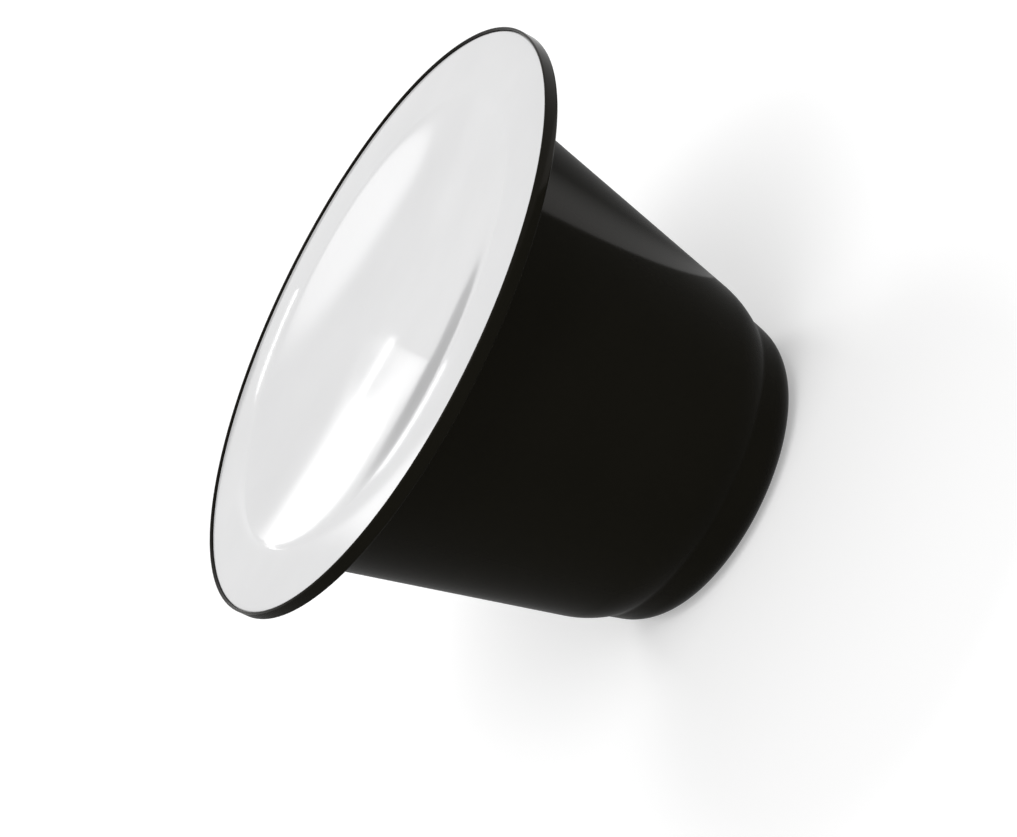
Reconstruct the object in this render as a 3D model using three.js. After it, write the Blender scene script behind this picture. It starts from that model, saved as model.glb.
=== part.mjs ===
// Single-serve coffee pod: a moulded cup with a flange at its mouth and a stepped-in nose, under a dished lid.
// Millimetres, +Z up. The pod stands on its flat nose, lid uppermost. The origin is the centre of the nose's face.
// The pod is sealed and full, so the cup and what it holds are one solid. The lid is the other piece: a stiff
// sheet in a shallow seat in the flange's front face, with its middle pressed in as a dish.

import * as THREE from "three";

// Overall
const podHeight = 23.9; // nose's face to the front of the rim
const turnSegments = 72; // flats round each turned surface

// Flange
const flangeDiameter = 37;
const flangeThickness = 0.86; // front of the rim to the underside
const flangeBackRound = 0.15; // round on the underside's outer edge
const rimWidth = 0.15; // ring of the flange that shows round the lid
const rimHeight = 0.14; // how far that ring stands above the lid

// Cup body
const bodyDiameter = 29.56; // where it leaves the flange's underside
const bodyDraft = 12.45; // degrees that the side leans in towards the nose
const flangeFillet = 0.2; // between the side and the flange
const shoulderRadius = 6.7;
const shoulderAngle = 34; // degrees from the axis where the shoulder meets the nose

// Nose
const noseHeight = 3.23; // nose's face to the crease under the shoulder
const noseDraft = 14; // degrees
const noseCornerRadius = 2.7;

// Lid
const lidThickness = 0.15;
const lidClearance = 0.02; // between the lid's edge and the rim
const dishRadius = 14.5; // where the lid's flat border ends
const dishDepth = 1.1; // at the middle
const dishFullness = 2.5; // power that flattens the dish's floor
const dishBrow = 1.2; // power that softens the dish's edge
const mouthClearance = 0.1; // between the dish's edge and the edge of its seat
const headspace = 0.3; // between the dish and the filling below it

const upright = 90;
const radians = THREE.MathUtils.degToRad;
const tangent = (degrees) => Math.tan(radians(degrees));

// Points are (radius, height) pairs. A profile runs from the axis up the outside and back to the axis.
function arc(centreR, centreZ, radius, fromDegrees, toDegrees, steps) {
  return Array.from({ length: steps + 1 }, (_, i) => {
    const turn = radians(THREE.MathUtils.lerp(fromDegrees, toDegrees, i / steps));
    return new THREE.Vector2(centreR + radius * Math.cos(turn), centreZ + radius * Math.sin(turn));
  });
}

// The dish's curve below the height z0, from its edge to the axis. The points crowd towards the edge.
function dish(z0, outerRadius, steps) {
  return Array.from({ length: steps + 1 }, (_, i) => {
    const r = outerRadius * Math.cos(radians((upright * i) / steps));
    const share = Math.min(r / dishRadius, 1);
    const drop = dishDepth * (1 - share ** dishFullness) ** dishBrow;
    return new THREE.Vector2(i < steps ? r : 0, z0 - drop);
  });
}

// One closed solid turned about the Z axis.
function turned(name, profile, finish) {
  const geometry = new THREE.LatheGeometry(profile, turnSegments).rotateX(radians(upright));
  const mesh = new THREE.Mesh(geometry, new THREE.MeshStandardMaterial(finish));
  mesh.name = name;
  return mesh;
}

// Heights and radii that the pieces share
const flangeRadius = flangeDiameter / 2;
const undersideZ = podHeight - flangeThickness;
const lidFaceZ = podHeight - rimHeight;
const seatZ = lidFaceZ - lidThickness;
const rimInnerRadius = flangeRadius - rimWidth;
const mouthRadius = dishRadius + mouthClearance;

// Radius of the cup's straight side at a height
const sideRadius = (z) => bodyDiameter / 2 - (undersideZ - z) * tangent(bodyDraft);

function noseCorner(creaseRadius) {
  const wallShare = 1 - Math.sin(radians(noseDraft));
  const radius = Math.min(noseCornerRadius, noseHeight / wallShare);
  const wallHeight = noseHeight - radius * wallShare;
  const centreR = creaseRadius - wallHeight * tangent(noseDraft) - radius * Math.cos(radians(noseDraft));
  return arc(centreR, radius, radius, -upright, -noseDraft, 8);
}

function shoulder() {
  const rise = shoulderRadius * (Math.sin(radians(shoulderAngle)) - Math.sin(radians(bodyDraft)));
  const centreZ = noseHeight + shoulderRadius * Math.sin(radians(shoulderAngle));
  const centreR = sideRadius(noseHeight + rise) - shoulderRadius * Math.cos(radians(bodyDraft));
  return arc(centreR, centreZ, shoulderRadius, -shoulderAngle, -bodyDraft, 5);
}

function filletUnderFlange() {
  const centreZ = undersideZ - flangeFillet;
  const touchZ = centreZ + flangeFillet * Math.sin(radians(bodyDraft));
  const centreR = sideRadius(touchZ) + flangeFillet * Math.cos(radians(bodyDraft));
  return arc(centreR, centreZ, flangeFillet, 2 * upright - bodyDraft, upright, 3);
}

function cup() {
  const beadRadius = rimWidth / 2;
  const shoulderPoints = shoulder();
  const crease = shoulderPoints[0];
  const profile = [
    new THREE.Vector2(0, 0),
    ...noseCorner(crease.x),
    ...shoulderPoints,
    ...filletUnderFlange(),
    ...arc(flangeRadius - flangeBackRound, undersideZ + flangeBackRound, flangeBackRound, -upright, 0, 3),
    ...arc(flangeRadius - beadRadius, podHeight - beadRadius, beadRadius, 0, 2 * upright, 6),
    new THREE.Vector2(rimInnerRadius, seatZ),
    new THREE.Vector2(mouthRadius, seatZ),
    ...dish(seatZ - headspace, mouthRadius, 7),
  ];
  return turned("cup", profile, { color: 0x181712, roughness: 0.22, metalness: 0 });
}

function lid() {
  const lidRadius = rimInnerRadius - lidClearance;
  const profile = [
    ...dish(seatZ, dishRadius, 12).reverse(),
    new THREE.Vector2(lidRadius, seatZ),
    new THREE.Vector2(lidRadius, lidFaceZ),
    ...dish(lidFaceZ, dishRadius, 12),
  ];
  return turned("lid", profile, { color: 0xe8e8e8, roughness: 0.18, metalness: 0 });
}

const pod = new THREE.Group();
pod.add(cup(), lid());

export default pod;
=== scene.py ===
# %% [markdown]
# # A coffee pod, dressed for its portrait
# The pod is a black moulded cup with a wide flange, closed by a white lid whose middle is pressed in as a
# dish. It stands on its nose, lid uppermost. Every surface of it is turned about one upright axis, so the
# first half of the lesson is about drawing half an outline with a pen and spinning it round. The second
# half is about gloss: what a white lid and a black cup show of the things around them.

from math import cos, pi, radians, sin, tan

import bmesh
import bpy
from mathutils import Matrix, Vector


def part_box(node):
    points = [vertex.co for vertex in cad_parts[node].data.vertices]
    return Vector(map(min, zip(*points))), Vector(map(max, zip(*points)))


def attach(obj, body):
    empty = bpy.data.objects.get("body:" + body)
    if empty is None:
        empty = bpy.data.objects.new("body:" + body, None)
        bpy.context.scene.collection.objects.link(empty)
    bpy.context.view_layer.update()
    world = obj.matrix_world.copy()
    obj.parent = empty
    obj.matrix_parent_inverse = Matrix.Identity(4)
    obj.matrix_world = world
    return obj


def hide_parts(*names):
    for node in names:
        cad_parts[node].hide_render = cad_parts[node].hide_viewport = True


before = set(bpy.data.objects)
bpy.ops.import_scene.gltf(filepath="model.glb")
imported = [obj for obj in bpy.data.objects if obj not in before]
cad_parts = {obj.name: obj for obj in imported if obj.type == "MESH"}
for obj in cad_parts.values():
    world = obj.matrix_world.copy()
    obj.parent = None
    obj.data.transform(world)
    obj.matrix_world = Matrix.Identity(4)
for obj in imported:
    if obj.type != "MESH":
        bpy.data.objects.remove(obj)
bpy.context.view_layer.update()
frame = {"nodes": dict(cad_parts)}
print("nodes:", ", ".join(frame["nodes"]))

# %% [markdown]
# The measured model already knows the overall sizes, so they are read from it and not typed again. The
# finer sizes, such as the round of a corner, are written once here. The script thinks in metres, and MM
# turns millimetres into them.

# %% Sizes
MM = 0.001

cup_low, cup_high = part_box("cup")
lid_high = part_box("lid")[1]
pod_height = cup_high[2]
flange_radius = cup_high[0]
lid_radius = lid_high[0]
lid_face = lid_high[2]

flange_thickness = 0.86 * MM
flange_back_round = 0.15 * MM
rim_width = 0.15 * MM
body_radius = 14.78 * MM
body_draft = radians(12.45)
flange_fillet = 0.2 * MM
shoulder_radius = 6.7 * MM
shoulder_angle = radians(34)
nose_height = 3.23 * MM
nose_draft = radians(14)
nose_corner_radius = 2.7 * MM
crease_radius = 0.22 * MM
lid_thickness = 0.15 * MM
lid_edge_radius = 0.12 * MM
dish_radius = 14.5 * MM
dish_depth = 1.1 * MM
dish_fullness = 2.5
dish_brow = 1.2
mouth_clearance = 0.1 * MM
headspace = 0.3 * MM

underside = pod_height - flange_thickness
seat = lid_face - lid_thickness
mouth_radius = dish_radius + mouth_clearance
print(f"pod {pod_height / MM:.2f} mm high, flange {2 * flange_radius / MM:.2f} mm across")

# %% [markdown]
# The portrait was taken with a long lens, a little above the lid, with the camera turned on its side so
# that the pod seems to lie down. Reading the ellipse of the lid gives the tilt, and the shrinking of the
# nose gives the distance. So the camera is placed backwards: first its direction, then as far from the
# lid's centre as the picture says, and then sideways until that centre falls on its own pixel.

# %% Camera
PHOTO_WIDTH, PHOTO_HEIGHT = 1017, 837
SENSOR_WIDTH = 36.0
FOCAL_LENGTH_PIXELS = 3600
NEAREST_SEEN, FARTHEST_SEEN = 0.01, 20.0
LID_CENTRE_PIXEL = (371.7, 317.8)
LID_CENTRE_DISTANCE = 206.8 * MM
CAMERA_ELEVATION = radians(20.79)
CAMERA_ROLL = radians(-64.17)

lens = bpy.data.cameras.new("portrait_lens")
lens.sensor_width = SENSOR_WIDTH
lens.lens = SENSOR_WIDTH * FOCAL_LENGTH_PIXELS / PHOTO_WIDTH
lens.clip_start = NEAREST_SEEN
lens.clip_end = FARTHEST_SEEN
camera = bpy.data.objects.new("portrait_camera", lens)
bpy.context.scene.collection.objects.link(camera)
bpy.context.scene.camera = camera

aim = Matrix.Rotation(pi / 2 - CAMERA_ELEVATION, 3, "X") @ Matrix.Rotation(CAMERA_ROLL, 3, "Z")
right_of_centre = (LID_CENTRE_PIXEL[0] - PHOTO_WIDTH / 2) / FOCAL_LENGTH_PIXELS
above_centre = (PHOTO_HEIGHT / 2 - LID_CENTRE_PIXEL[1]) / FOCAL_LENGTH_PIXELS
seen_from_camera = Vector((right_of_centre, above_centre, -1.0)) * LID_CENTRE_DISTANCE
lid_centre = Vector((0.0, 0.0, lid_face))
camera.matrix_world = Matrix.Translation(lid_centre - aim @ seen_from_camera) @ aim.to_4x4()
print("camera at", [round(value / MM, 1) for value in camera.matrix_world.translation], "mm")

# %% [markdown]
# A turned thing is fully described by half of its outline. The pen is the last vertex of a growing chain:
# a straight stroke extrudes it and moves the copy, and a round stroke spins it about the centre of the
# arc. Seen from the front, with the radius to the right and the height upwards, a positive sweep runs
# anticlockwise.

# %% The pen
FRONT_AXIS = (0.0, -1.0, 0.0)


def start_outline(height):
    outline = bmesh.new()
    outline.verts.new((0.0, 0.0, height))
    return outline


def pen_of(outline):
    outline.verts.ensure_lookup_table()
    return outline.verts[-1]


def line_to(outline, radius, height):
    pen = pen_of(outline)
    stroke = Vector((radius, 0.0, height)) - pen.co
    made = bmesh.ops.extrude_vert_indiv(outline, verts=[pen])
    bmesh.ops.translate(outline, verts=made["verts"], vec=stroke)


def arc_about(outline, centre_radius, centre_height, sweep, steps):
    bmesh.ops.spin(
        outline,
        geom=[pen_of(outline)],
        cent=(centre_radius, 0.0, centre_height),
        axis=FRONT_AXIS,
        angle=sweep,
        steps=steps,
    )


# %% [markdown]
# Spinning the half outline through a whole turn makes the solid. The last copy lands on the first, so it
# is merged with it, and the points on the axis, which were copied onto themselves, are merged too. Only
# then do the normals know which side is out. Faces are shaded smooth, except across an edge that bends
# sharply.

# %% The turntable
TURN_STEPS = 180
MERGE_DISTANCE = 0.0005 * MM
SHARP_BEND = radians(50)


def object_from(shape, name, material):
    mesh = bpy.data.meshes.new(name)
    shape.to_mesh(mesh)
    shape.free()
    made = bpy.data.objects.new(name, mesh)
    bpy.context.scene.collection.objects.link(made)
    made.data.materials.append(material)
    return made


def turn(outline, name, material):
    bmesh.ops.spin(
        outline,
        geom=outline.verts[:] + outline.edges[:],
        cent=(0.0, 0.0, 0.0),
        axis=(0.0, 0.0, 1.0),
        angle=2 * pi,
        steps=TURN_STEPS,
        use_merge=True,
    )
    bmesh.ops.remove_doubles(outline, verts=outline.verts[:], dist=MERGE_DISTANCE)
    bmesh.ops.recalc_face_normals(outline, faces=outline.faces[:])
    for face in outline.faces:
        face.smooth = True
    for edge in outline.edges:
        edge.smooth = edge.calc_face_angle(0.0) < SHARP_BEND
    piece = object_from(outline, name, material)
    print(f"{name}: {len(piece.data.polygons)} faces")
    return piece


# %% [markdown]
# No real surface is the same all over. Both finishes get their unevenness from noise that sits on the
# object, so it stays where it is when the camera moves. One noise can steer several things at once:
# spread over a small range it varies the roughness, between two stops of a ramp it varies the tone, and
# as a height it bumps the skin.

# %% Unevenness
def start_material(name):
    material = bpy.data.materials.new(name)
    material.use_nodes = True
    return material, material.node_tree.nodes, material.node_tree.links


def noise_on_object(nodes, links, scale, detail):
    place = nodes.new("ShaderNodeTexCoord")
    noise = nodes.new("ShaderNodeTexNoise")
    noise.inputs["Scale"].default_value = scale
    noise.inputs["Detail"].default_value = detail
    links.new(place.outputs["Object"], noise.inputs["Vector"])
    return noise.outputs["Fac"]


def spread(nodes, links, value, low, high):
    scale = nodes.new("ShaderNodeMapRange")
    scale.inputs["To Min"].default_value = low
    scale.inputs["To Max"].default_value = high
    links.new(value, scale.inputs["Value"])
    return scale.outputs["Result"]


def two_tones(nodes, links, value, stops, tones):
    ramp = nodes.new("ShaderNodeValToRGB")
    for element, stop, tone in zip(ramp.color_ramp.elements, stops, tones):
        element.position = stop
        element.color = tone
    links.new(value, ramp.inputs["Fac"])
    return ramp.outputs["Color"]


def bumpy_skin(nodes, links, height, strength, distance):
    bump = nodes.new("ShaderNodeBump")
    bump.inputs["Strength"].default_value = strength
    bump.inputs["Distance"].default_value = distance
    links.new(height, bump.inputs["Height"])
    return bump.outputs["Normal"]


# %% [markdown]
# Moulded polypropylene is near-black with a warm cast, and as smooth as the polished mould. Under a lamp
# it isn't perfect: the gloss is a little cloudier in broad, soft patches, and the skin has a faint orange
# peel. The specular level is far under the usual half, because in the portrait even the edges of the cup,
# where any gloss turns into a mirror, stay nearly black.

# %% Black moulded plastic
CUP_IOR = 1.49
CUP_SPECULAR_LEVEL = 0.055
CUP_SPECULAR_TINT = (1.0, 0.91, 0.86, 1.0)
CUP_PATCH_SCALE, CUP_PATCH_DETAIL = 90.0, 3.0
CUP_ROUGHNESS_LOW, CUP_ROUGHNESS_HIGH = 0.08, 0.13
CUP_TONE_STOPS = (0.35, 0.65)
CUP_TONES = ((0.0086, 0.0080, 0.0056, 1.0), (0.0098, 0.0090, 0.0064, 1.0))
CUP_PEEL_SCALE, CUP_PEEL_DETAIL = 900.0, 2.0
CUP_PEEL_STRENGTH = 0.25
CUP_PEEL_DEPTH = 0.004 * MM


def black_cup_plastic():
    material, nodes, links = start_material("black_cup_plastic")
    shader = nodes["Principled BSDF"]
    shader.inputs["IOR"].default_value = CUP_IOR
    shader.inputs["Specular IOR Level"].default_value = CUP_SPECULAR_LEVEL
    shader.inputs["Specular Tint"].default_value = CUP_SPECULAR_TINT

    patches = noise_on_object(nodes, links, CUP_PATCH_SCALE, CUP_PATCH_DETAIL)
    roughness = spread(nodes, links, patches, CUP_ROUGHNESS_LOW, CUP_ROUGHNESS_HIGH)
    links.new(roughness, shader.inputs["Roughness"])
    links.new(two_tones(nodes, links, patches, CUP_TONE_STOPS, CUP_TONES), shader.inputs["Base Color"])

    peel = noise_on_object(nodes, links, CUP_PEEL_SCALE, CUP_PEEL_DETAIL)
    skin = bumpy_skin(nodes, links, peel, CUP_PEEL_STRENGTH, CUP_PEEL_DEPTH)
    links.new(skin, shader.inputs["Normal"])
    return material


cup_plastic = black_cup_plastic()
print("finish:", cup_plastic.name)

# %% [markdown]
# The lid is a stiff white sheet with a glossy face. Its white is broken by the finest clouding, and the
# sheet was pressed and never lies quite even, which shows as a broad, very shallow waviness in the sheen.

# %% White lid sheet
LID_IOR = 1.5
LID_SPECULAR_LEVEL = 0.5
LID_CLOUD_SCALE, LID_CLOUD_DETAIL = 160.0, 4.0
LID_ROUGHNESS_LOW, LID_ROUGHNESS_HIGH = 0.05, 0.09
LID_TONE_STOPS = (0.3, 0.7)
LID_TONES = ((0.735, 0.735, 0.74, 1.0), (0.765, 0.765, 0.77, 1.0))
LID_WAVE_SCALE, LID_WAVE_DETAIL = 220.0, 1.0
LID_WAVE_STRENGTH = 0.2
LID_WAVE_DEPTH = 0.01 * MM


def white_lid_sheet():
    material, nodes, links = start_material("white_lid_sheet")
    shader = nodes["Principled BSDF"]
    shader.inputs["IOR"].default_value = LID_IOR
    shader.inputs["Specular IOR Level"].default_value = LID_SPECULAR_LEVEL

    clouding = noise_on_object(nodes, links, LID_CLOUD_SCALE, LID_CLOUD_DETAIL)
    roughness = spread(nodes, links, clouding, LID_ROUGHNESS_LOW, LID_ROUGHNESS_HIGH)
    links.new(roughness, shader.inputs["Roughness"])
    links.new(two_tones(nodes, links, clouding, LID_TONE_STOPS, LID_TONES), shader.inputs["Base Color"])

    waviness = noise_on_object(nodes, links, LID_WAVE_SCALE, LID_WAVE_DETAIL)
    skin = bumpy_skin(nodes, links, waviness, LID_WAVE_STRENGTH, LID_WAVE_DEPTH)
    links.new(skin, shader.inputs["Normal"])
    return material


lid_sheet = white_lid_sheet()
print("finish:", lid_sheet.name)

# %% [markdown]
# The dish in the lid is a shallow bowl: its floor is gently rounded, its wall is steepest close to its
# edge, and it meets the flat border in a soft brow. One formula gives its depth at each radius. The pen
# takes long steps over the floor and short ones where the curve bends.

# %% The dish's curve
DISH_STEPS = 40


def dish_drop(radius):
    share = min(radius / dish_radius, 1.0)
    return dish_depth * (1 - share**dish_fullness) ** dish_brow


def dish_radii(outermost):
    return [outermost * sin(pi / 2 * step / DISH_STEPS) for step in range(DISH_STEPS + 1)]


print(f"dish {dish_drop(0) / MM:.2f} mm deep")

# %% [markdown]
# The cup is one moulding: a flat nose with a round corner, a crease, a round shoulder, a straight side
# with the draft that lets it leave the mould, and a thin flange. The pen starts at the middle of the nose
# and goes up the outside. No mould cuts a perfectly sharp crease, so the outline gets a bevel at that one
# vertex, a small round. The pod is sealed and full, so the outline closes over the filling.

# %% Cup
NOSE_STEPS = 16
SHOULDER_STEPS = 12
SMALL_ROUND_STEPS = 6
BEAD_STEPS = 12
CREASE_STEPS = 4


def side_radius(height):
    return body_radius - (underside - height) * tan(body_draft)


def outline_nose(outline, crease):
    wall_height = nose_height - nose_corner_radius * (1 - sin(nose_draft))
    corner_radius = crease - wall_height * tan(nose_draft) - nose_corner_radius * cos(nose_draft)
    line_to(outline, corner_radius, 0.0)
    arc_about(outline, corner_radius, nose_corner_radius, pi / 2 - nose_draft, NOSE_STEPS)
    line_to(outline, crease, nose_height)


def outline_flange(outline):
    fillet_height = underside - flange_fillet
    touch = fillet_height + flange_fillet * sin(body_draft)
    fillet_radius = side_radius(touch) + flange_fillet * cos(body_draft)
    back_round_radius = flange_radius - flange_back_round
    bead_radius = rim_width / 2
    line_to(outline, side_radius(touch), touch)
    arc_about(outline, fillet_radius, fillet_height, body_draft - pi / 2, SMALL_ROUND_STEPS)
    line_to(outline, back_round_radius, underside)
    arc_about(outline, back_round_radius, underside + flange_back_round, pi / 2, SMALL_ROUND_STEPS)
    line_to(outline, flange_radius, pod_height - bead_radius)
    arc_about(outline, flange_radius - bead_radius, pod_height - bead_radius, pi, BEAD_STEPS)


def outline_filling(outline):
    line_to(outline, flange_radius - rim_width, seat)
    line_to(outline, mouth_radius, seat)
    for radius in reversed(dish_radii(mouth_radius)):
        line_to(outline, radius, seat - headspace - dish_drop(radius))


def make_cup():
    rise = shoulder_radius * (sin(shoulder_angle) - sin(body_draft))
    shoulder_centre = side_radius(nose_height + rise) - shoulder_radius * cos(body_draft)
    shoulder_height = nose_height + shoulder_radius * sin(shoulder_angle)
    crease = shoulder_centre + shoulder_radius * cos(shoulder_angle)
    outline = start_outline(0.0)
    outline_nose(outline, crease)
    crease_vertex = pen_of(outline)
    arc_about(outline, shoulder_centre, shoulder_height, shoulder_angle - body_draft, SHOULDER_STEPS)
    outline_flange(outline)
    outline_filling(outline)
    bmesh.ops.bevel(
        outline,
        geom=[crease_vertex],
        offset=crease_radius,
        offset_type="OFFSET",
        segments=CREASE_STEPS,
        profile=0.5,
        affect="VERTICES",
        material=-1,
    )
    return turn(outline, "pod_cup", cup_plastic)


cup = make_cup()
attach(cup, "root")
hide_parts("cup")

# %% [markdown]
# The lid is a sheet of even thickness, so the pen draws its underside from the middle outwards, rounds
# the cut edge, and comes back over its face. The rounded edge matters: it is what catches the thin line
# of light inside the black rim.

# %% Lid
LID_EDGE_STEPS = 8


def make_lid():
    outline = start_outline(seat - dish_drop(0.0))
    for radius in dish_radii(dish_radius)[1:]:
        line_to(outline, radius, seat - dish_drop(radius))
    line_to(outline, lid_radius, seat)
    line_to(outline, lid_radius, lid_face - lid_edge_radius)
    arc_about(outline, lid_radius - lid_edge_radius, lid_face - lid_edge_radius, pi / 2, LID_EDGE_STEPS)
    for radius in reversed(dish_radii(dish_radius)):
        line_to(outline, radius, lid_face - dish_drop(radius))
    return turn(outline, "pod_lid", lid_sheet)


lid = make_lid()
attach(lid, "root")
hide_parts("lid")

# %% [markdown]
# The floor is plain and pale. Lit by the lamps it would come out as pale grey, so it glows as well: a
# little in reflections and through glass, and more for the eye of the camera, which lifts the unshaded
# floor to white. The glow carries no light to the pod, and the pod's shadow stays.

# %% Floor
FLOOR_RADIUS = 3.0
FLOOR_COLOUR = (0.8, 0.8, 0.8, 1.0)
FLOOR_ROUGHNESS = 0.9
FLOOR_GLOW = 0.1
FLOOR_GLOW_FOR_CAMERA = 0.26
DISC_SEGMENTS = 96
WHITE = (1.0, 1.0, 1.0, 1.0)


def rays_that_show_the_room(nodes, links):
    """1 for a ray from the camera, in a reflection or through glass, 0 for one that carries light."""
    path = nodes.new("ShaderNodeLightPath")
    seen = nodes.new("ShaderNodeMath")
    seen.operation = "MAXIMUM"
    links.new(path.outputs["Is Camera Ray"], seen.inputs[0])
    links.new(path.outputs["Is Glossy Ray"], seen.inputs[1])
    through = nodes.new("ShaderNodeMath")
    through.operation = "MAXIMUM"
    links.new(seen.outputs["Value"], through.inputs[0])
    links.new(path.outputs["Is Transmission Ray"], through.inputs[1])
    return through.outputs["Value"]


def pale_floor():
    material, nodes, links = start_material("pale_floor")
    shader = nodes["Principled BSDF"]
    shader.inputs["Base Color"].default_value = FLOOR_COLOUR
    shader.inputs["Roughness"].default_value = FLOOR_ROUGHNESS
    shader.inputs["Specular IOR Level"].default_value = 0.0
    shader.inputs["Emission Color"].default_value = WHITE
    path = nodes.new("ShaderNodeLightPath")
    extra = spread(nodes, links, path.outputs["Is Camera Ray"], 0.0, FLOOR_GLOW_FOR_CAMERA)
    glow = nodes.new("ShaderNodeMath")
    glow.operation = "MULTIPLY_ADD"
    glow.inputs[1].default_value = FLOOR_GLOW
    links.new(rays_that_show_the_room(nodes, links), glow.inputs[0])
    links.new(extra, glow.inputs[2])
    links.new(glow.outputs["Value"], shader.inputs["Emission Strength"])
    return material


def flat_disc(name, radius, centre, material):
    shape = bmesh.new()
    bmesh.ops.create_circle(shape, cap_ends=True, segments=DISC_SEGMENTS, radius=radius)
    bmesh.ops.translate(shape, verts=shape.verts[:], vec=centre)
    return object_from(shape, name, material)


floor = flat_disc("floor", FLOOR_RADIUS, (0.0, 0.0, cup_low[2]), pale_floor())
print("floor at", floor.data.vertices[0].co.z)

# %% [markdown]
# The room is white wherever the camera or a reflection looks at it, and lends the scene its soft fill at
# a lower level. The same Light Path value that lifts the floor chooses between the two.

# %% Room
ROOM_FILL = 0.43
ROOM_WHITE = 1.0

room = bpy.data.worlds.new("white_room")
room.use_nodes = True
bpy.context.scene.world = room
room_nodes, room_links = room.node_tree.nodes, room.node_tree.links
backdrop = room_nodes["Background"]
backdrop.inputs["Color"].default_value = WHITE
room_seen = rays_that_show_the_room(room_nodes, room_links)
room_level = spread(room_nodes, room_links, room_seen, ROOM_FILL, ROOM_WHITE)
room_links.new(room_level, backdrop.inputs["Strength"])
print("room fill", ROOM_FILL)

# %% [markdown]
# The main lamp is a large soft panel in front of the pod and high above it, so its shadow falls behind
# the pod, where the camera sees little of it. A smaller, weaker panel behind the pod fills in from the
# other side. A panel's power is worked out from the brightness that it gives a surface facing it, so the
# numbers stay readable: on the lid both panels and the room together come to about 1, the light that
# shows a white as white. Azimuth is measured from the +X axis towards +Y, and the camera looks along +Y.

# %% Lamps
LAMP_DISTANCE = 1.2
FRONT_AZIMUTH, FRONT_ELEVATION = radians(-98), radians(54)
FRONT_WIDTH, FRONT_HEIGHT = 0.7, 0.6
FRONT_BRIGHTNESS = 0.5
BACK_AZIMUTH, BACK_ELEVATION = radians(88), radians(46)
BACK_WIDTH, BACK_HEIGHT = 0.3, 0.3
BACK_BRIGHTNESS = 0.22


def soft_panel(name, azimuth, elevation, width, height, brightness):
    data = bpy.data.lights.new(name, "AREA")
    data.shape = "RECTANGLE"
    data.size = width
    data.size_y = height
    data.energy = brightness * pi * pi * LAMP_DISTANCE**2
    lamp = bpy.data.objects.new(name, data)
    towards = Vector((cos(azimuth) * cos(elevation), sin(azimuth) * cos(elevation), sin(elevation)))
    lamp.location = lid_centre + LAMP_DISTANCE * towards
    lamp.rotation_euler = towards.to_track_quat("Z", "Y").to_euler()
    lamp.visible_camera = False
    bpy.context.scene.collection.objects.link(lamp)
    return lamp


lamps = [
    soft_panel("front_panel", FRONT_AZIMUTH, FRONT_ELEVATION, FRONT_WIDTH, FRONT_HEIGHT, FRONT_BRIGHTNESS),
    soft_panel("back_panel", BACK_AZIMUTH, BACK_ELEVATION, BACK_WIDTH, BACK_HEIGHT, BACK_BRIGHTNESS),
]
print("lamps:", [lamp.name for lamp in lamps])

# %% [markdown]
# Product photographers draw on gloss with boards, which stand where only a reflection finds them. Here
# that is behind the pod. A board is a flat upright grid that glows and throws no light or shadow. Its
# place is easiest to give as the lid sees it: the elevation above the lid, and the turn to the right of
# straight back. One edge can fade, between the height where the board is clear and the height where it is
# solid, and a fade below the floor leaves the whole board solid. That edge can also be V-shaped: lowest at
# the valley, and climbing to both sides of it.

# %% What a board is
FADE_BELOW_THE_FLOOR = (-2 * MM, -1 * MM)


def height_seen_at(elevation, distance):
    return lid_face + distance * tan(elevation)


def aside_seen_at(turn_to_right, distance):
    return distance * tan(turn_to_right)


def fade_between(nodes, links, coordinate, clear_at, solid_at):
    fade = nodes.new("ShaderNodeMapRange")
    fade.interpolation_type = "SMOOTHSTEP"
    fade.inputs["From Min"].default_value = clear_at
    fade.inputs["From Max"].default_value = solid_at
    links.new(coordinate, fade.inputs["Value"])
    return fade.outputs["Result"]


def height_above_valley(nodes, links, valley, climb):
    place = nodes.new("ShaderNodeTexCoord")
    split = nodes.new("ShaderNodeSeparateXYZ")
    links.new(place.outputs["Object"], split.inputs["Vector"])
    aside = nodes.new("ShaderNodeMath")
    aside.operation = "SUBTRACT"
    aside.inputs[1].default_value = valley
    links.new(split.outputs["X"], aside.inputs[0])
    distance = nodes.new("ShaderNodeMath")
    distance.operation = "ABSOLUTE"
    links.new(aside.outputs["Value"], distance.inputs[0])
    lowered = nodes.new("ShaderNodeMath")
    lowered.operation = "MULTIPLY_ADD"
    lowered.inputs[1].default_value = -climb
    links.new(distance.outputs["Value"], lowered.inputs[0])
    links.new(split.outputs["Z"], lowered.inputs[2])
    return lowered.outputs["Value"]


def board_material(name, brightness, fade=FADE_BELOW_THE_FLOOR, valley=0.0, climb=0.0):
    material, nodes, links = start_material(name)
    nodes.clear()
    height = height_above_valley(nodes, links, valley, climb)
    glow = nodes.new("ShaderNodeEmission")
    glow.inputs["Strength"].default_value = brightness
    clear = nodes.new("ShaderNodeBsdfTransparent")
    mix = nodes.new("ShaderNodeMixShader")
    links.new(fade_between(nodes, links, height, *fade), mix.inputs["Fac"])
    links.new(clear.outputs["BSDF"], mix.inputs[1])
    links.new(glow.outputs["Emission"], mix.inputs[2])
    surface = nodes.new("ShaderNodeOutputMaterial")
    links.new(mix.outputs["Shader"], surface.inputs["Surface"])
    return material


def show_to_reflections_only(card):
    card.visible_camera = False
    card.visible_diffuse = False
    card.visible_transmission = False
    card.visible_shadow = False


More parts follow.
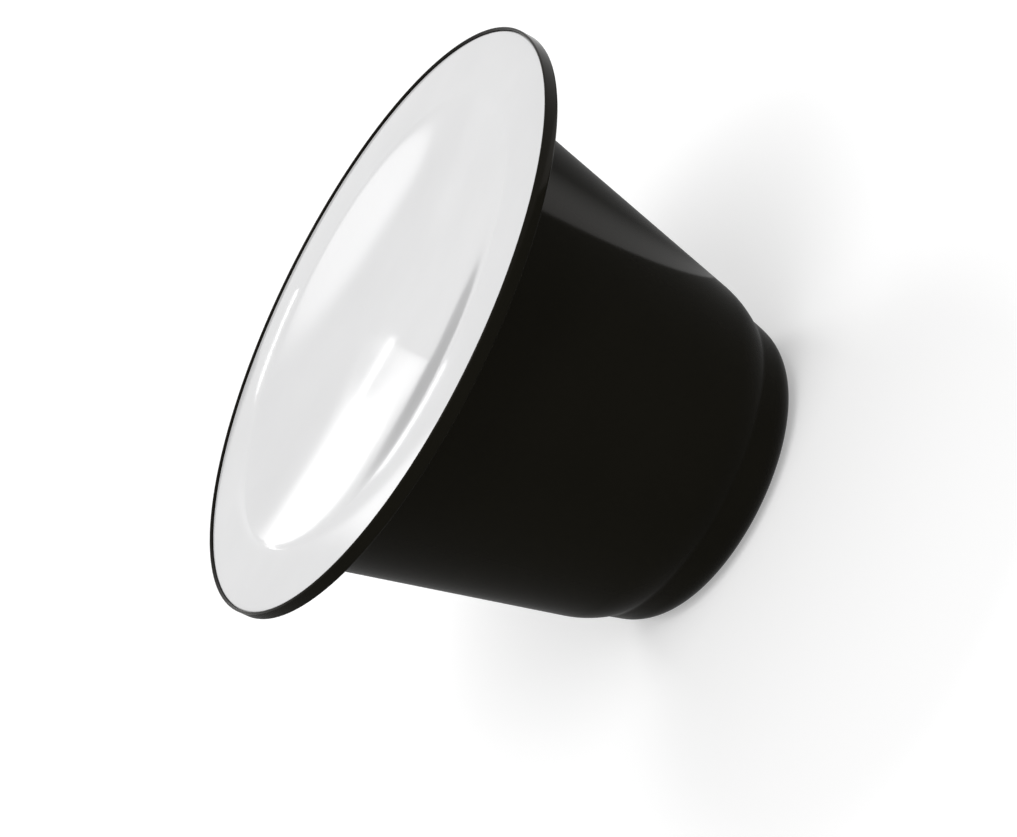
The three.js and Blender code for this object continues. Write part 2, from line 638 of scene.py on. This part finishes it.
def reflection_board(name, distance, left, right, bottom, top, material):
    shape = bmesh.new()
    bmesh.ops.create_grid(shape, x_segments=1, y_segments=1, size=0.5)
    bmesh.ops.scale(shape, verts=shape.verts[:], vec=(right - left, top - bottom, 1.0))
    bmesh.ops.rotate(shape, verts=shape.verts[:], cent=(0, 0, 0), matrix=Matrix.Rotation(pi / 2, 3, "X"))
    centre = ((left + right) / 2, distance, (bottom + top) / 2)
    bmesh.ops.translate(shape, verts=shape.verts[:], vec=centre)
    board = object_from(shape, name, material)
    show_to_reflections_only(board)
    print(f"{name}: {right - left:.3f} m wide, {top - bottom:.3f} m high, {distance} m away")
    return board


# %% [markdown]
# A white board far away makes the crisp highlight in the lower half of the dish, and its top fades out,
# so the highlight does too. The dish mirrors crosswise, so a board on the right is found by the left half
# of the lid. A small shade board, as bright as the room, stands close behind the pod on the right and
# keeps the highlight out of the other half.

# %% Highlight and its shade
WHITE_BOARD_DISTANCE = 2.8
WHITE_BOARD_LEFT, WHITE_BOARD_RIGHT = radians(0.55), radians(6.0)
WHITE_BOARD_BOTTOM = radians(1.0)
WHITE_BOARD_SOLID, WHITE_BOARD_CLEAR = radians(17.2), radians(20.7)
WHITE_BOARD_BRIGHTNESS = 3.0
SHADE_BOARD_DISTANCE = 0.1
SHADE_BOARD_LEFT, SHADE_BOARD_RIGHT = 0.3 * MM, 45 * MM
SHADE_BOARD_BOTTOM, SHADE_BOARD_TOP = radians(4.5), radians(24)

white_top = height_seen_at(WHITE_BOARD_CLEAR, WHITE_BOARD_DISTANCE)
white_solid = height_seen_at(WHITE_BOARD_SOLID, WHITE_BOARD_DISTANCE)
reflection_board(
    "white_board",
    WHITE_BOARD_DISTANCE,
    aside_seen_at(WHITE_BOARD_LEFT, WHITE_BOARD_DISTANCE),
    aside_seen_at(WHITE_BOARD_RIGHT, WHITE_BOARD_DISTANCE),
    height_seen_at(WHITE_BOARD_BOTTOM, WHITE_BOARD_DISTANCE),
    white_top,
    board_material("lit_white_board", WHITE_BOARD_BRIGHTNESS, fade=(white_top, white_solid)),
)
reflection_board(
    "shade_board",
    SHADE_BOARD_DISTANCE,
    SHADE_BOARD_LEFT,
    SHADE_BOARD_RIGHT,
    height_seen_at(SHADE_BOARD_BOTTOM, SHADE_BOARD_DISTANCE),
    height_seen_at(SHADE_BOARD_TOP, SHADE_BOARD_DISTANCE),
    board_material("plain_shade_board", ROOM_WHITE),
)

# %% [markdown]
# The steepest part of the dish's near wall mirrors what lies just above the horizon. A low black board
# there gives the thin grey crescent inside the near edge. To both sides the wall is less steep and
# mirrors a higher place, so the board's upper edge is V-shaped and climbs with it.

# %% Crescent
BLACK_BOARD_DISTANCE = 2.7
BLACK_BOARD_HALF_WIDTH = 0.4
BLACK_BOARD_BOTTOM = 0.5 * MM
BLACK_BOARD_TOP = radians(13)
BLACK_BOARD_VALLEY_TURN, BLACK_BOARD_VALLEY = radians(0.5), radians(4.5)
BLACK_BOARD_CLIMB = 4.8
BLACK_BOARD_FADE = 15 * MM
BLACK_BOARD_BRIGHTNESS = 0.02

black_valley = height_seen_at(BLACK_BOARD_VALLEY, BLACK_BOARD_DISTANCE)
reflection_board(
    "black_board",
    BLACK_BOARD_DISTANCE,
    -BLACK_BOARD_HALF_WIDTH,
    BLACK_BOARD_HALF_WIDTH,
    BLACK_BOARD_BOTTOM,
    height_seen_at(BLACK_BOARD_TOP, BLACK_BOARD_DISTANCE),
    board_material(
        "unlit_black_board",
        BLACK_BOARD_BRIGHTNESS,
        fade=(black_valley, black_valley - BLACK_BOARD_FADE),
        valley=aside_seen_at(BLACK_BOARD_VALLEY_TURN, BLACK_BOARD_DISTANCE),
        climb=BLACK_BOARD_CLIMB,
    ),
)

# %% [markdown]
# The far wall of the dish leans towards the camera and mirrors the room higher up. A bright board there,
# a little to the left, gives that wall its broad, soft sheen. The short thin line outside the dish's far
# edge is the image of one more board, a narrow bright strip far away.

# %% Sheen and streak
SKY_BOARD_DISTANCE = 1.0
SKY_BOARD_LEFT, SKY_BOARD_RIGHT = -0.4, 0.12
SKY_BOARD_CLEAR, SKY_BOARD_SOLID, SKY_BOARD_TOP = radians(17), radians(21.5), radians(60)
SKY_BOARD_VALLEY = -0.061
SKY_BOARD_CLIMB = 3.5
SKY_BOARD_BRIGHTNESS = 2.4
STREAK_BOARD_DISTANCE = 2.75
STREAK_BOARD_LEFT, STREAK_BOARD_RIGHT = radians(-1.5), radians(0.6)
STREAK_BOARD_MIDDLE = radians(17.3)
STREAK_BOARD_HALF_HEIGHT = 18 * MM
STREAK_BOARD_BRIGHTNESS = 5.0

sky_clear = height_seen_at(SKY_BOARD_CLEAR, SKY_BOARD_DISTANCE)
sky_solid = height_seen_at(SKY_BOARD_SOLID, SKY_BOARD_DISTANCE)
reflection_board(
    "sky_board",
    SKY_BOARD_DISTANCE,
    SKY_BOARD_LEFT,
    SKY_BOARD_RIGHT,
    sky_clear,
    height_seen_at(SKY_BOARD_TOP, SKY_BOARD_DISTANCE),
    board_material(
        "lit_sky_board",
        SKY_BOARD_BRIGHTNESS,
        fade=(sky_clear, sky_solid),
        valley=SKY_BOARD_VALLEY,
        climb=SKY_BOARD_CLIMB,
    ),
)
streak_middle = height_seen_at(STREAK_BOARD_MIDDLE, STREAK_BOARD_DISTANCE)
reflection_board(
    "streak_board",
    STREAK_BOARD_DISTANCE,
    aside_seen_at(STREAK_BOARD_LEFT, STREAK_BOARD_DISTANCE),
    aside_seen_at(STREAK_BOARD_RIGHT, STREAK_BOARD_DISTANCE),
    streak_middle - STREAK_BOARD_HALF_HEIGHT,
    streak_middle + STREAK_BOARD_HALF_HEIGHT,
    board_material("lit_streak_board", STREAK_BOARD_BRIGHTNESS),
)

# %% [markdown]
# The cup leans outwards as it rises, so its side mirrors only the floor close to it, and a white floor
# would draw a pale edge down both of its sides. A dark mat, which only reflections see, keeps them black:
# its low glow is painted shade. On the mat lies a painted pool of light: it begins at a straight edge and
# dims towards the back, and the cup shows it as a painted reflection, a patch with one sharp edge. The
# mat is shifted away from that side, so the flange's edge still finds some white floor beyond it.

# %% Mat of painted shade and painted light
MAT_RADIUS = 100 * MM
MAT_LIFT = 0.3 * MM
MAT_REACH = 60 * MM
# The mat's low glow is painted shade, and its bright glow beyond the straight edge is a painted pool of
# light.
PAINTED_SHADE_GLOW = 0.18
PAINTED_LIGHT_TURN = radians(42.5)
PAINTED_LIGHT_EDGE = 17.6 * MM
PAINTED_LIGHT_BRIGHT_AT = -6 * MM
PAINTED_LIGHT_DARK_AT = 15 * MM
PAINTED_LIGHT_GLOW = 1.8

towards_painted_light = Vector((sin(PAINTED_LIGHT_TURN), cos(PAINTED_LIGHT_TURN), 0.0))


# Paints the mat: a low glow of painted shade everywhere, and beyond the straight edge a painted pool of
# light that dims towards the back.
def painted_shade_mat_with_painted_light():
    material, nodes, links = start_material("painted_shade_mat_with_painted_light")
    nodes.clear()
    place = nodes.new("ShaderNodeTexCoord")
    reach = nodes.new("ShaderNodeVectorMath")
    reach.operation = "DOT_PRODUCT"
    reach.inputs[1].default_value = towards_painted_light
    links.new(place.outputs["Object"], reach.inputs[0])
    beyond = nodes.new("ShaderNodeMath")
    beyond.operation = "GREATER_THAN"
    beyond.inputs[1].default_value = PAINTED_LIGHT_EDGE
    links.new(reach.outputs["Value"], beyond.inputs[0])
    split = nodes.new("ShaderNodeSeparateXYZ")
    links.new(place.outputs["Object"], split.inputs["Vector"])
    # The painted pool of light: bright at the front, fading towards the back.
    painted_light_pool = fade_between(nodes, links, split.outputs["Y"], PAINTED_LIGHT_DARK_AT, PAINTED_LIGHT_BRIGHT_AT)
    cut = nodes.new("ShaderNodeMath")
    cut.operation = "MULTIPLY"
    links.new(painted_light_pool, cut.inputs[0])
    links.new(beyond.outputs["Value"], cut.inputs[1])
    glow = nodes.new("ShaderNodeEmission")
    links.new(spread(nodes, links, cut.outputs["Value"], PAINTED_SHADE_GLOW, PAINTED_LIGHT_GLOW), glow.inputs["Strength"])
    surface = nodes.new("ShaderNodeOutputMaterial")
    links.new(glow.outputs["Emission"], surface.inputs["Surface"])
    return material


mat_middle = towards_painted_light * (MAT_REACH - MAT_RADIUS) + Vector((0.0, 0.0, cup_low[2] + MAT_LIFT))
# A disc of painted shade carrying a painted pool of light, seen only in reflections.
mat = flat_disc("mat", MAT_RADIUS, mat_middle, painted_shade_mat_with_painted_light())
show_to_reflections_only(mat)
print("mat centred at", [round(value / MM, 1) for value in mat_middle], "mm")

# %% [markdown]
# The picture is shown as rendered, with the plain Standard transform.

# %% Finish
bpy.context.scene.view_settings.view_transform = "Standard"
